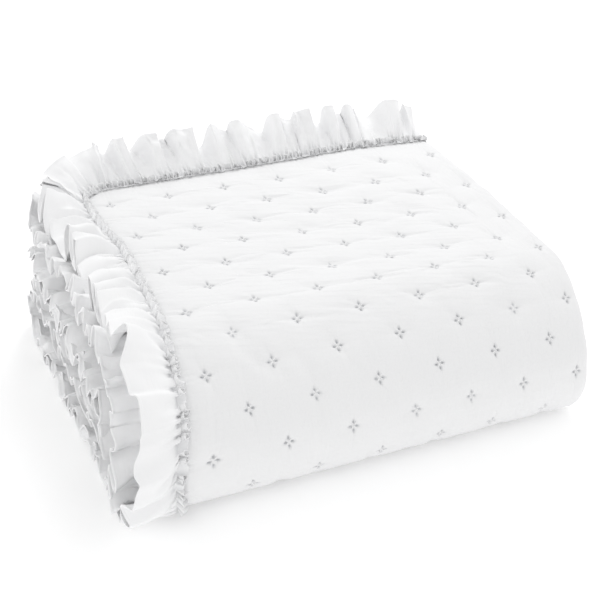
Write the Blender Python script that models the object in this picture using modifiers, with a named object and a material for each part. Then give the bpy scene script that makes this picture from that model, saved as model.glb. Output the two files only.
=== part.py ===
# Folded quilted bedspread with a gathered ruffle, in metres, +Z up.
# The origin is at the middle of the underside. The two folded edges with the ruffles lie at -X.
import math

import bmesh
import bpy
from mathutils import Vector

# Cloth and folding
LAYER_PITCH = 0.013         # from one layer of the folded quilt to the next
CLOTH = 0.008               # thickness of the quilted cloth
TUFT_PITCH = 0.085          # from tuft to tuft along a row
ROW_PITCH = 0.0502          # from one row of tufts to the next, which is set over by half a pitch
TUFT_COLUMNS = 12
TUFT_ROWS = 12
FIRST_COLUMN = 0.038        # from the near edge to the first column
FIRST_ROW = 0.054           # from the foot edge to the first row
TUFT_REACH = 0.012          # radius of the pinched spot round a tuft
TUFT_THICKNESS = 0.3        # cloth left at a tuft, as a share of its thickness
HEM_THICKNESS = 0.5         # cloth left at the hem, as a share of its thickness
FOLD_THICKNESS = 0.6        # cloth left where a tight fold squeezes it
CORNER_RADIUS = 0.045

# Ruffle
RUFFLE_WIDTH = 0.074
RUFFLE_CLOTH = 0.002
RUFFLE_STEPS = 3            # from one edge of the strip to the other
MIDDLE_ROW = 0.033          # the strip's middle points, from the seam
HIDDEN_ROW = 0.008          # the second row of points where no heading shows
HEADER_WIDTH = 0.011        # gathered heading that lies on the quilt
SEAM_GAP = 0.0006
PLEAT_STEPS = 4             # points along one pleat

QUARTER = 4 * LAYER_PITCH   # four layers, one quarter of the folded height
HEIGHT = 4 * QUARTER

# Where the straight runs of the folds start and end. Across: the near edge, then right, left, right
# and the far edge. Down: the foot edge at the back, then front, back, front and the head hem.
ACROSS_TURNS = (-0.295, 0.260, -0.288, 0.260, -0.300)
DOWN_TURNS = (0.253, -0.162, 0.205, -0.162, 0.243)
ACROSS_LEVELS = tuple(LAYER_PITCH * layer for layer in (0.5, 3.5, 2.5, 1.5))
LAST = 7                    # four straight runs and three bends each way
TIGHT_ACROSS = (3, 5)       # bends in which the cloth turns back on itself
TIGHT_DOWN = (5,)

# A ramp is where a change starts and the signed distance over which it is complete.
# How the bundle has slumped: the front leans forward low down, and its top has sunk
LEAN_RAMP = (0.291, -0.535)
LEAN = 0.486
LEAN_BULGE = 0.116
LEAN_SOFTNESS = 0.02
SINK = (                    # axis, ramp, share of the height
    ("y", (0.24, -0.42), 0.065),
    ("y", (0.17, 0.12), 0.02),
    ("x", (0.13, 0.16), 0.035),
)
# The top of the ruffled end is drawn in along its middle, and less so towards the far end
DRAWN_IN = 0.020
DRAWN_FROM_BACK = (0.20, -0.20)
DRAWN_FROM_FRONT = (-0.27, 0.12)
DRAWN_ABOVE = (0.5, 0.5)    # shares of the height
DRAWN_ACROSS = (-0.1, 0.4)
DRAWN_FADE = 0.6
# The lower layers of the ruffled end fan out towards the back
FAN_BACK = -0.022
FAN_FRONT = 0.003
FAN_DOWN = (0.20, -0.45)
FAN_ACROSS = (-0.3, 0.5)
# The lower front of the far end is pushed in
TUCK = 0.020
TUCK_DOWN = (-0.08, -0.15)
TUCK_ACROSS = (0.0, 0.22)
TUCK_BELOW = (1.0, -0.625)  # shares of the height
HOLLOWS = (                 # x, y, radius, depth
    (-0.04, 0.07, 0.15, 0.006),
    (0.12, -0.05, 0.10, 0.003),
    (-0.19, 0.14, 0.07, 0.003),
)

# Panel stations: how many steps each bend or hidden run is cut into
ACROSS_STEPS = (0, 6, 3, 4, 3, 4, 3)
DOWN_STEPS = (0, 0, 3, 5, 4, 4, 4)
FRONT_BEND_REST = (0.78, 0.89, 1.0)

# The ruffle's lie: place along the edge, angle off the cloth in degrees, swing of its pleats,
# and 1 where the heading shows
NEAR_LIE = (
    (0.00, 54, 0.015, 1),
    (0.12, 38, 0.016, 1),
    (0.40, 18, 0.017, 1),
    (0.90, 13, 0.017, 1),
    (1.50, 8, 0.016, 1),
    (1.70, 3, 0.012, 1),
    (1.82, -3, 0.007, 1),
    (1.90, -7, 0.004, 0),
    (2.00, -7, 0.004, 0),
    (2.20, -5, 0.006, 0),
    (3.00, -5, 0.007, 0),
    (4.00, -5, 0.007, 0),
    (4.90, -5, 0.007, 0),
    (5.00, -5, 0.002, 0),
    (6.00, -5, 0.002, 0),
    (6.10, -5, 0.007, 0),
    (7.00, -5, 0.007, 0),
)
FAR_LIE = (
    (0.00, -10, 0.005, 0),
    (0.25, 0, 0.007, 0),
    (0.60, 12, 0.010, 0),
    (1.00, 12, 0.010, 0),
    (2.00, 12, 0.010, 0),
    (2.90, 12, 0.010, 0),
    (3.00, 10, 0.004, 0),
    (4.00, 10, 0.004, 0),
    (4.10, 12, 0.010, 0),
    (5.00, 12, 0.007, 0),
    (6.00, 12, 0.007, 0),
    (6.10, 12, 0.010, 0),
    (7.00, 12, 0.010, 0),
)
FOOT_LIE = (
    (0.00, 54, 0.015, 1),
    (0.30, 54, 0.015, 1),
    (0.80, 44, 0.014, 1),
    (1.00, 28, 0.010, 1),
    (1.50, 16, 0.004, 0),
    (2.00, 5, 0.006, 0),
    (3.00, 5, 0.006, 0),
    (3.50, 5, 0.000, 0),
    (4.00, 6, 0.004, 0),
    (4.90, 6, 0.004, 0),
    (5.00, -2, 0.000, 0),
    (6.00, -4, 0.000, 0),
    (6.10, -8, 0.004, 0),
    (7.00, -10, 0.005, 0),
)
# Pleats in each straight run and bend of the folds
NEAR_PLEATS = (9, 7, 6, 2, 6, 1, 6)
FAR_PLEATS = (7, 5, 6, 1, 6, 1, 6)
FOOT_PLEATS = (12, 2, 8, 1, 8, 1, 8)
CORNER_PLEATS = 2


def ease(t):
    t = min(max(t, 0.0), 1.0)
    return t * t * (3 - 2 * t)


def between(rows, place):
    # Values of a table's columns at a place, on straight lines between its rows
    if place <= rows[0][0]:
        return rows[0][1:]
    for low, high in zip(rows, rows[1:]):
        if place <= high[0]:
            share = (place - low[0]) / (high[0] - low[0])
            return tuple(a + (b - a) * share for a, b in zip(low[1:], high[1:]))
    return rows[-1][1:]


def folded(place, turns, levels):
    # A point of a back-and-forth fold: distance along it, level, and the normal of the cloth's face.
    # Even whole places start a straight run, odd ones start a bend.
    step = min(max(int(place), 0), LAST - 1)
    t = place - step
    row = step // 2
    start, end = turns[row], turns[row + 1]
    side = math.copysign(1.0, end - start)
    if step % 2 == 0:
        return start + (end - start) * t, levels[row], 0.0, -side
    radius = (levels[row + 1] - levels[row]) / 2
    angle = math.pi * t
    along = end + side * abs(radius) * math.sin(angle)
    level = levels[row] + radius - radius * math.cos(angle)
    return along, level, math.copysign(1.0, radius) * math.sin(angle), -side * math.cos(angle)


def ramp(value, start_and_reach):
    start, reach = start_and_reach
    return ease((value - start) / reach)


def askew(x, y, above_middle):
    # How far a point is set over towards the far end
    level = above_middle / HEIGHT + 0.5
    drawn = DRAWN_IN * ramp(y, DRAWN_FROM_BACK) * ramp(y, DRAWN_FROM_FRONT)
    drawn *= ramp(level, DRAWN_ABOVE) * (1 - DRAWN_FADE * ramp(x, DRAWN_ACROSS))
    fan = FAN_BACK + (FAN_FRONT - FAN_BACK) * ramp(y, FAN_DOWN)
    fan *= (1 - level) * (1 - ramp(x, FAN_ACROSS))
    tuck = TUCK * ramp(y, TUCK_DOWN) * ramp(x, TUCK_ACROSS) * ramp(level, TUCK_BELOW)
    return drawn + fan - tuck


def slump(x, y, z):
    # The soft bundle's shape: leaning front, sunk edges and shallow hollows; the underside stays flat
    z -= LAYER_PITCH / 2 - CLOTH / 2
    offset = z - HEIGHT / 2
    leaned = LEAN * offset + LEAN_BULGE * math.hypot(offset, LEAN_SOFTNESS)
    scale = 1.0
    for axis, sink_ramp, share in SINK:
        scale -= share * ramp(x if axis == "x" else y, sink_ramp)
    for at_x, at_y, radius, depth in HOLLOWS:
        scale -= depth / HEIGHT * math.exp(-((x - at_x) ** 2 + (y - at_y) ** 2) / radius ** 2)
    return x + askew(x, y, offset), y + ramp(y, LEAN_RAMP) * leaned, CLOTH / 2 + (z - CLOTH / 2) * scale


def place_on_cloth(u, v, lift=0.0):
    # The place of a point of the cloth: u across it, v down it, lifted off its middle
    x, level, normal_x, normal_level = folded(u, ACROSS_TURNS, ACROSS_LEVELS)
    x += lift * normal_x
    level += lift * normal_level
    down_levels = (4 * QUARTER - level, level, 2 * QUARTER - level, 2 * QUARTER + level)
    y, z, _, _ = folded(v, DOWN_TURNS, down_levels)
    return slump(x, y, z)


def lifted_off(u, v, lift, clear):
    # The same, lifted as the folds are, then held clear of the cloth's face at a right angle to it
    here = Vector(place_on_cloth(u, v, lift))
    if clear == 0:
        return here
    small = 0.0005
    at = Vector(place_on_cloth(u, v))
    along_u = Vector(place_on_cloth(u + small, v)) - at
    along_v = Vector(place_on_cloth(u, v + small)) - at
    outward = Vector(place_on_cloth(u, v, small)) - at
    normal = along_u.cross(along_v).normalized()
    if normal.dot(outward) < 0:
        normal.negate()
    return here + normal * clear


def run_length(turns, row):
    return abs(turns[row + 1] - turns[row])


def row_stations():
    # Places down the cloth, from the foot edge, at which the rows of tufts lie an even way apart
    fine = 4000
    stations = []
    walked = 0.0
    u = FIRST_COLUMN / run_length(ACROSS_TURNS, 0)
    last = place_on_cloth(u, 0.0)
    for step in range(1, fine):
        v = 2.0 * step / fine
        here = place_on_cloth(u, v)
        walked += math.dist(last, here)
        last = here
        if walked >= FIRST_ROW + ROW_PITCH * len(stations):
            stations.append(v)
            if len(stations) == TUFT_ROWS:
                break
    return stations


def steps_between(first, steps_of_piece):
    # Even places along the bends and hidden runs, from the first piece on
    places = []
    for piece, steps in enumerate(steps_of_piece):
        places += [piece + (step + 1) / steps for step in range(steps) if piece >= first]
    return places


def panel_stations():
    # The panel's grid lines: across it, with the tuft columns, and down it, with the tuft rows
    first, last = run_length(ACROSS_TURNS, 0), run_length(ACROSS_TURNS, 3)
    foot = run_length(DOWN_TURNS, 0)
    corner = CORNER_RADIUS / 3
    across = [0.0, corner / first]
    across += [(FIRST_COLUMN + TUFT_PITCH / 2 * column) / first for column in range(TUFT_COLUMNS)]
    across += [1.0] + steps_between(1, ACROSS_STEPS)
    across.insert(len(across) - 1, LAST - corner / last)
    down = [0.0, corner / foot] + row_stations() + [1 + t for t in FRONT_BEND_REST]
    down += steps_between(2, DOWN_STEPS)
    return across, down


def chord_shift(stations, place, value_at):
    # From the smooth edge to the straight edge of the panel's grid between two of its stations
    for low, high in zip(stations, stations[1:]):
        if low <= place <= high:
            share = (place - low) / (high - low)
            return value_at(low) * (1 - share) + value_at(high) * share - value_at(place)
    return 0.0


def new_material(name, colour, roughness):
    material = bpy.data.materials.new(name)
    material.use_nodes = True
    shader = material.node_tree.nodes["Principled BSDF"]
    shader.inputs["Base Color"].default_value = (*colour, 1.0)
    shader.inputs["Roughness"].default_value = roughness
    shader.inputs["Metallic"].default_value = 0.0
    return material


def new_object(name, mesh_maker, material, collection):
    mesh = bpy.data.meshes.new(name)
    mesh_maker.to_mesh(mesh)
    mesh_maker.free()
    mesh.materials.append(material)
    item = bpy.data.objects.new(name, mesh)
    collection.objects.link(item)
    return item


def thicken(item, thickness):
    solid = item.modifiers.new("Cloth", "SOLIDIFY")
    solid.thickness = thickness
    solid.offset = 0.0
    solid.use_even_offset = False
    return solid


def round_corner(from_u, from_v):
    # Draws the square corner of the cloth in to a quarter circle
    a = 1 - from_u / CORNER_RADIUS
    b = 1 - from_v / CORNER_RADIUS
    if a <= 0 or b <= 0:
        return from_u, from_v
    new_a = a * math.sqrt(1 - b * b / 2)
    new_b = b * math.sqrt(1 - a * a / 2)
    return CORNER_RADIUS * (1 - new_a), CORNER_RADIUS * (1 - new_b)


def rounded_place(u, v):
    # A place on the cloth once its two corners at the foot are rounded
    first, last = run_length(ACROSS_TURNS, 0), run_length(ACROSS_TURNS, 3)
    foot = run_length(DOWN_TURNS, 0)
    if v >= 1:
        return u, v
    if u < 1:
        new_u, new_v = round_corner(u * first, v * foot)
        return new_u / first, new_v / foot
    if u > LAST - 1:
        new_u, new_v = round_corner((LAST - u) * last, v * foot)
        return LAST - new_u / last, new_v / foot
    return u, v


def cloth_left(u, v, at_hem):
    # The share of its thickness that the cloth keeps at a station
    if at_hem:
        return HEM_THICKNESS
    squeezed = int(u) in TIGHT_ACROSS and u > int(u) or int(v) in TIGHT_DOWN and v > int(v)
    return FOLD_THICKNESS if squeezed else 1.0


def make_panel(u_places, v_places, material, collection):
    # The quilted cloth: a grid with lines through the tufts, folded, then given its thickness
    first, foot = run_length(ACROSS_TURNS, 0), run_length(DOWN_TURNS, 0)
    cloth = bmesh.new()
    bmesh.ops.create_grid(cloth, x_segments=len(u_places) - 1, y_segments=len(v_places) - 1, size=0.5)
    loft = cloth.verts.layers.deform.verify()
    tufts = []
    for vert in cloth.verts:
        i = round((vert.co.x + 0.5) * (len(u_places) - 1))
        j = round((vert.co.y + 0.5) * (len(v_places) - 1))
        column, row = i - 2, j - 2
        vert.co = (u_places[i] * first, v_places[j] * foot, 0)
        vert[loft][0] = cloth_left(u_places[i], v_places[j], vert.is_boundary)
        if 0 <= column < TUFT_COLUMNS and 0 <= row < TUFT_ROWS and (column + row) % 2 == 0:
            tufts.append(vert)
    spots = bmesh.ops.bevel(cloth, geom=tufts, offset=TUFT_REACH, affect="VERTICES", segments=1)
    faces = [face for face in spots["faces"] if len(face.verts) == 4]
    for vert in cloth.verts:
        if not vert[loft]:
            vert[loft][0] = 1.0
    centres = bmesh.ops.poke(cloth, faces=faces)["verts"]
    for vert in centres:
        vert[loft][0] = TUFT_THICKNESS
    for vert in cloth.verts:
        u, v = rounded_place(vert.co.x / first, vert.co.y / foot)
        vert.co = place_on_cloth(u, v)
    panel = new_object("quilted_panel", cloth, material, collection)
    panel.vertex_groups.new(name="loft")
    solid = thicken(panel, CLOTH)
    solid.vertex_group = "loft"
    return panel


def edge_stations(pleats):
    # Places along one edge and how far its pleats have turned at each
    stations = []
    turned = 0
    for piece, count in enumerate(pleats):
        steps = count * PLEAT_STEPS
        stations += [(piece + step / steps, turned + step) for step in range(steps)]
        turned += steps
    stations.append((LAST, turned))
    return stations


def ruffle_rows(header):
    # Distances from the stitched seam of the points across the strip
    first = SEAM_GAP - (HEADER_WIDTH + SEAM_GAP) * max(0.0, 2 * header - 1)
    return first, HIDDEN_ROW * (1 - header), MIDDLE_ROW, RUFFLE_WIDTH


def ruffle_point(index, lie, turned):
    # How far out, how far off the folds' surface and how far clear of the cloth's face a point lies
    angle, swing, header = lie
    distance = ruffle_rows(header)[index]
    half_cloth = CLOTH / 2 if index == 0 else HEM_THICKNESS * CLOTH / 2
    clear = min(1.0, 2 * header) * (half_cloth + RUFFLE_CLOTH / 2 + SEAM_GAP)
    if index == 0:
        return distance, 0.0, clear
    wave = math.sin(turned * 2 * math.pi / PLEAT_STEPS)
    tilt = math.radians(angle)
    off = distance * math.sin(tilt) + swing * wave * distance / RUFFLE_WIDTH
    return distance * math.cos(tilt), off, clear


def make_ruffle(name, stations, material, collection):
    # One gathered strip: each station gives how to place a point and the strip's lie there
    strip = bmesh.new()
    steps = len(stations) - 1
    bmesh.ops.create_grid(strip, x_segments=steps, y_segments=RUFFLE_STEPS, size=0.5)
    for vert in strip.verts:
        i = round((vert.co.x + 0.5) * steps)
        j = round((vert.co.y + 0.5) * RUFFLE_STEPS)
        locate, lie, turned = stations[i]
        vert.co = locate(*ruffle_point(j, lie, turned))
    ruffle = new_object(name, strip, material, collection)
    thicken(ruffle, RUFFLE_CLOTH)
    return ruffle


def beside_side_edge(far, v, down):
    # Places points beyond a side edge, at a station down it
    length = run_length(ACROSS_TURNS, 3 if far else 0)
    edge, outward = (LAST, 1) if far else (0, -1)
    shift = Vector((chord_shift(down, v, lambda place: place_on_cloth(edge, place)[0]), 0, 0))
    return lambda out, off, clear: lifted_off(edge + outward * out / length, v, off, clear) + shift


def beyond_foot_edge(u):
    # Places points beyond the foot edge, at a station across it
    length = run_length(DOWN_TURNS, 0)
    return lambda out, off, clear: lifted_off(u, -out / length, off, clear)


def round_the_corner(turn, far):
    # The rounded corner: a turn of 0 meets the side edge, a turn of 90 degrees the foot edge
    width = run_length(ACROSS_TURNS, 3 if far else 0)
    length = run_length(DOWN_TURNS, 0)

    def locate(out, off, clear):
        from_side = CORNER_RADIUS - (CORNER_RADIUS + out) * math.cos(turn)
        from_foot = CORNER_RADIUS - (CORNER_RADIUS + out) * math.sin(turn)
        u = LAST - from_side / width if far else from_side / width
        return lifted_off(u, from_foot / length, off, clear)

    return locate


def side_stations(lies, pleats, far, down):
    # A side edge from its rounded corner at the foot to the head
    start = CORNER_RADIUS / run_length(DOWN_TURNS, 0)
    stations = []
    steps = CORNER_PLEATS * PLEAT_STEPS
    for step in range(steps):
        turn = math.pi / 2 * (1 - step / steps)
        stations.append((round_the_corner(turn, far), between(lies, 0.0), step))
    for place, turned in edge_stations(pleats):
        v = start + place * (1 - start) if place < 1 else place
        stations.append((beside_side_edge(far, v, down), between(lies, v), steps + turned))
    return stations


def foot_stations():
    # The foot edge from corner to corner, half a pleat on from the near side's ruffle
    start = (CORNER_RADIUS + SEAM_GAP) / run_length(ACROSS_TURNS, 0)
    end = LAST - (CORNER_RADIUS + SEAM_GAP) / run_length(ACROSS_TURNS, 3)
    stations = []
    for place, turned in edge_stations(FOOT_PLEATS):
        u = place
        if place < 1:
            u = start + place * (1 - start)
        if place > LAST - 1:
            u = LAST - 1 + (place - LAST + 1) * (end - LAST + 1)
        turned += PLEAT_STEPS // 2
        stations.append((beyond_foot_edge(u), between(FOOT_LIE, u), turned))
    return stations


def main():
    for item in list(bpy.data.objects):
        bpy.data.objects.remove(item, do_unlink=True)
    collection = bpy.data.collections.new("folded_bedspread")
    bpy.context.scene.collection.children.link(collection)
    quilted = new_material("quilted white cloth", (0.90, 0.90, 0.90), 0.85)
    voile = new_material("thin white ruffle cloth", (0.93, 0.93, 0.93), 0.75)
    across, down = panel_stations()
    make_panel(across, down, quilted, collection)
    near = side_stations(NEAR_LIE, NEAR_PLEATS, False, down)
    far = side_stations(FAR_LIE, FAR_PLEATS, True, down)
    make_ruffle("near_side_ruffle", near, voile, collection)
    make_ruffle("foot_ruffle", foot_stations(), voile, collection)
    make_ruffle("far_side_ruffle", far, voile, collection)


main()
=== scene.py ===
# Folded white bedspread: a quilted and tufted cloth with a gathered ruffle on three sides.
# Everything is in metres in the frame's own axes; the ruffled folds lie at -X and the round front at -Y.
import math

import bpy
import numpy as np
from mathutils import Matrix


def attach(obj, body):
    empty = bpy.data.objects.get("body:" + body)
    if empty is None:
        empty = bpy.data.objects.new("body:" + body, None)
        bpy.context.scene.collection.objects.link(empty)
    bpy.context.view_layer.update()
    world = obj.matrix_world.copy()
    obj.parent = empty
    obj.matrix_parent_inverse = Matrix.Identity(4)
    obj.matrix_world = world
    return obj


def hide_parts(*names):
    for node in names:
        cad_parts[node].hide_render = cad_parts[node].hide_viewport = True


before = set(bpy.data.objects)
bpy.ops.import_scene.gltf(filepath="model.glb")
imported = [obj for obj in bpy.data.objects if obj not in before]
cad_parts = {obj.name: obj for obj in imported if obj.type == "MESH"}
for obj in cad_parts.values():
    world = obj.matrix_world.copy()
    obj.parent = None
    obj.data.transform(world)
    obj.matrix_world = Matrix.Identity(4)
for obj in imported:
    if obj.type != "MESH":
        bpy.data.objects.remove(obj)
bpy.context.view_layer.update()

# How the cloth is folded and how the bundle has slumped, as in the solids
fold = {
    "layerPitch": 0.013, "cloth": 0.008, "hemShare": 0.5, "squeezedShare": 0.6,
    "acrossTurns": (-0.295, 0.260, -0.288, 0.260, -0.300),   # near edge, right, left, right, far edge
    "downTurns": (0.253, -0.162, 0.205, -0.162, 0.243),      # foot edge, front, back, front, head hem
    "acrossLayers": (0.5, 3.5, 2.5, 1.5),
    "cornerRadius": 0.045,
}
slumped = {
    "leanRamp": (0.291, -0.535), "lean": 0.486, "bulge": 0.116, "softness": 0.02,
    "sink": (("y", (0.24, -0.42), 0.065), ("y", (0.17, 0.12), 0.02), ("x", (0.13, 0.16), 0.035)),
    "drawnIn": 0.020, "drawnBack": (0.20, -0.20), "drawnFront": (-0.27, 0.12),
    "drawnAbove": (0.5, 0.5), "drawnAcross": (-0.1, 0.4), "drawnFade": 0.6,
    "fanBack": -0.022, "fanFront": 0.003, "fanDown": (0.20, -0.45), "fanAcross": (-0.3, 0.5),
    "tuck": 0.020, "tuckDown": (-0.08, -0.15), "tuckAcross": (0.0, 0.22), "tuckBelow": (1.0, -0.625),
    "bowed": 0.013, "bowedLevels": (0.30, 0.55), "bowedDown": (-0.14, -0.12), "bowedAcross": (-0.31, 0.14),
    "hollows": ((-0.04, 0.07, 0.15, 0.006), (0.12, -0.05, 0.10, 0.003), (-0.19, 0.14, 0.07, 0.003)),
}
tuft = {
    "pitch": 0.085, "rowPitch": 0.0502, "firstColumn": 0.038, "firstRow": 0.054,
    "columns": 14, "reach": 0.045,
    "dimple": 0.0038, "dimpleAcross": 0.017, "dimpleDown": 0.012,   # the soft hollow round a tuft
    "dent": 0.0032, "dentWidth": 0.0014, "dentLength": 0.0021,      # the four pricks
    "dentAcross": 0.0044, "dentDown": 0.0054,
    "ridge": 0.0010,
    "drift": 0.012, "driftAt": 0.46, "driftReach": 0.15,   # slack that carries the front rows over
    "slant": 0.024, "slantAcross": (0.05, 0.48), "slantFrom": (-0.03, 0.17), "slantTo": (0.26, 0.22),
    "uneven": 0.0007, "turned": 8.0, "deeper": 0.25, "seed": 7,      # how the tufts differ
}
quarter = 4 * fold["layerPitch"]
height = 4 * quarter
lastPlace = 7
acrossLevels = [fold["layerPitch"] * layer for layer in fold["acrossLayers"]]


def ease(t):
    t = np.clip(t, 0.0, 1.0)
    return t * t * (3 - 2 * t)


def ramp(value, startAndReach):
    start, reach = startAndReach
    return ease((value - start) / reach)


def folded(place, turns, levels):
    # Distance, level and face normal of a back-and-forth fold; odd whole places start a bend
    place = np.asarray(place, dtype=float)
    step = np.clip(np.floor(place), 0, lastPlace - 1).astype(int)
    t = place - step
    row = step // 2
    levels = np.broadcast_arrays(place, *levels)[1:]
    here = np.choose(row, levels)
    after = np.choose(np.minimum(row + 1, 3), levels)
    turns = np.array(turns)
    start, end = turns[row], turns[row + 1]
    side = np.sign(end - start)
    radius = (after - here) / 2
    angle = math.pi * t
    bend = step % 2 == 1
    along = np.where(bend, end + side * np.abs(radius) * np.sin(angle), start + (end - start) * t)
    level = np.where(bend, here + radius - radius * np.cos(angle), here)
    normalAlong = np.where(bend, np.where(radius < 0, -1.0, 1.0) * np.sin(angle), 0.0)
    normalLevel = np.where(bend, -side * np.cos(angle), -side)
    return along, level, normalAlong, normalLevel


def slump(x, y, z):
    z = z - (fold["layerPitch"] - fold["cloth"]) / 2
    offset = z - height / 2
    leaned = slumped["lean"] * offset + slumped["bulge"] * np.hypot(offset, slumped["softness"])
    scale = 1.0
    for axis, sinkRamp, share in slumped["sink"]:
        scale = scale - share * ramp(x if axis == "x" else y, sinkRamp)
    for atX, atY, radius, depth in slumped["hollows"]:
        scale = scale - depth / height * np.exp(-((x - atX) ** 2 + (y - atY) ** 2) / radius ** 2)
    level = offset / height + 0.5
    drawn = slumped["drawnIn"] * ramp(y, slumped["drawnBack"]) * ramp(y, slumped["drawnFront"])
    drawn = drawn * ramp(level, slumped["drawnAbove"])
    drawn = drawn * (1 - slumped["drawnFade"] * ramp(x, slumped["drawnAcross"]))
    fan = slumped["fanBack"] + (slumped["fanFront"] - slumped["fanBack"]) * ramp(y, slumped["fanDown"])
    fan = fan * (1 - level) * (1 - ramp(x, slumped["fanAcross"]))
    tucked = slumped["tuck"] * ramp(y, slumped["tuckDown"]) * ramp(x, slumped["tuckAcross"])
    tucked = tucked * ramp(level, slumped["tuckBelow"])
    # The ruffled edge bows in high on the front and out again below
    lowest, middle = slumped["bowedLevels"]
    bow = slumped["bowed"] * np.sin(2 * math.pi * (np.clip(level, lowest, 1) - middle))
    bow = bow * ramp(y, slumped["bowedDown"]) * (1 - ramp(x, slumped["bowedAcross"]))
    half = fold["cloth"] / 2
    return np.stack((
        x + drawn + fan - tucked + bow,
        y + ramp(y, slumped["leanRamp"]) * leaned,
        half + (z - half) * scale,
    ), axis=-1)


def downLevels(level):
    # Where a level of the strip that is folded across comes in each of its four layers
    return 4 * quarter - level, level, 2 * quarter - level, 2 * quarter + level


def placeOnCloth(u, v, lift=0.0):
    # u across the cloth, v down it, lifted off its middle towards its face
    x, level, normalX, normalLevel = folded(u, fold["acrossTurns"], acrossLevels)
    x = x + lift * normalX
    level = level + lift * normalLevel
    y, z, _, _ = folded(v, fold["downTurns"], downLevels(level))
    return slump(x, y, z)


def liftedOff(u, v, lift, clear):
    # The same, then held clear of the cloth's face at a right angle to it
    small = 0.0005
    at = placeOnCloth(u, v)
    normal = np.cross(placeOnCloth(u + small, v) - at, placeOnCloth(u, v + small) - at)
    normal /= np.linalg.norm(normal, axis=-1, keepdims=True)
    facing = np.sum(normal * (placeOnCloth(u, v, small) - at), axis=-1, keepdims=True)
    normal *= np.where(facing < 0, -1.0, 1.0)
    return placeOnCloth(u, v, lift) + normal * np.asarray(clear)[..., None]


def pieceLengths(turns, levels):
    lengths = []
    for row in range(4):
        lengths.append(abs(turns[row + 1] - turns[row]))
        if row < 3:
            lengths.append(math.pi * abs(levels[row + 1] - levels[row]) / 2)
    return np.array(lengths)


acrossLengths = pieceLengths(fold["acrossTurns"], acrossLevels)
acrossStarts = np.concatenate(([0.0], np.cumsum(acrossLengths)))
shownWidth = acrossStarts[2]   # across the top and round the plain end


def downLengthsAt(layer):
    return pieceLengths(fold["downTurns"], downLevels(fold["layerPitch"] * layer))


def acrossPlace(distance):
    return np.interp(distance, acrossStarts, np.arange(lastPlace + 1))


def acrossDistance(u):
    return np.interp(u, np.arange(lastPlace + 1), acrossStarts)


# Distances down the outer layer, measured over the slumped bundle
fineStations = 14001
fineDown = np.linspace(0.0, lastPlace, fineStations)
finePoints = placeOnCloth(np.full_like(fineDown, tuft["firstColumn"] / acrossLengths[0]), fineDown)
walkedDown = np.concatenate(([0.0], np.cumsum(np.linalg.norm(np.diff(finePoints, axis=0), axis=1))))


def downPlace(distance):
    return np.interp(distance, walkedDown, fineDown)


def downDistance(v):
    return np.interp(v, fineDown, walkedDown)


# Distances down the cloth to the end of the front, of the underside and of the back
frontEnd, underEnd, backEnd = downDistance(2.0), downDistance(3.0), downDistance(4.0)
tuftRows = int((backEnd - tuft["firstRow"]) / tuft["rowPitch"]) + 1


def wander(seed, place, reach, waves=6):
    # Smooth uneven values, mostly between -1 and 1; reach is about the length of one swell
    pick = np.random.RandomState(seed)
    total = np.zeros_like(np.asarray(place, dtype=float))
    for wave in range(waves):
        rate = pick.uniform(0.45, 1.4) / reach
        total += pick.uniform(0.6, 1.0) * np.sin(2 * math.pi * (rate * place + pick.uniform()))
    return total / math.sqrt(waves)


def smoothMesh(name, points, faces, clothPlaces, material):
    mesh = bpy.data.meshes.new(name)
    mesh.from_pydata(points.tolist(), [], faces)
    corners = np.empty(len(mesh.loops), dtype=np.int32)
    mesh.loops.foreach_get("vertex_index", corners)
    layer = mesh.uv_layers.new(name="cloth")
    layer.uv.foreach_set("vector", clothPlaces[corners].astype(np.float32).ravel())
    mesh.polygons.foreach_set("use_smooth", np.ones(len(mesh.polygons), dtype=bool))
    mesh.materials.append(material)
    mesh.update()
    item = bpy.data.objects.new(name, mesh)
    bpy.context.scene.collection.objects.link(item)
    return item


def paint(item, label, values):
    # A value for each point, which a material reads by its label
    attribute = item.data.attributes.new(label, "FLOAT", "POINT")
    attribute.data.foreach_set("value", values.astype(np.float32).ravel())


def gridFaces(rows, columns, first=0):
    at = first + np.arange(rows * columns).reshape(rows, columns)
    return np.stack((at[:-1, :-1], at[1:, :-1], at[1:, 1:], at[:-1, 1:]), axis=-1).reshape(-1, 4).tolist()


# Materials

class Value:
    # A shader socket that can be used in sums
    def __init__(self, graph, socket):
        self.graph, self.socket = graph, socket

    def sums(self, operation, *inputs):
        return self.graph.add("ShaderNodeMath", {"operation": operation}, dict(enumerate(inputs)))

    def __add__(self, other):
        return self.sums("ADD", self, other)

    def __radd__(self, other):
        return self.sums("ADD", other, self)

    def __sub__(self, other):
        return self.sums("SUBTRACT", self, other)

    def __rsub__(self, other):
        return self.sums("SUBTRACT", other, self)

    def __mul__(self, other):
        return self.sums("MULTIPLY", self, other)

    def __rmul__(self, other):
        return self.sums("MULTIPLY", other, self)


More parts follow.
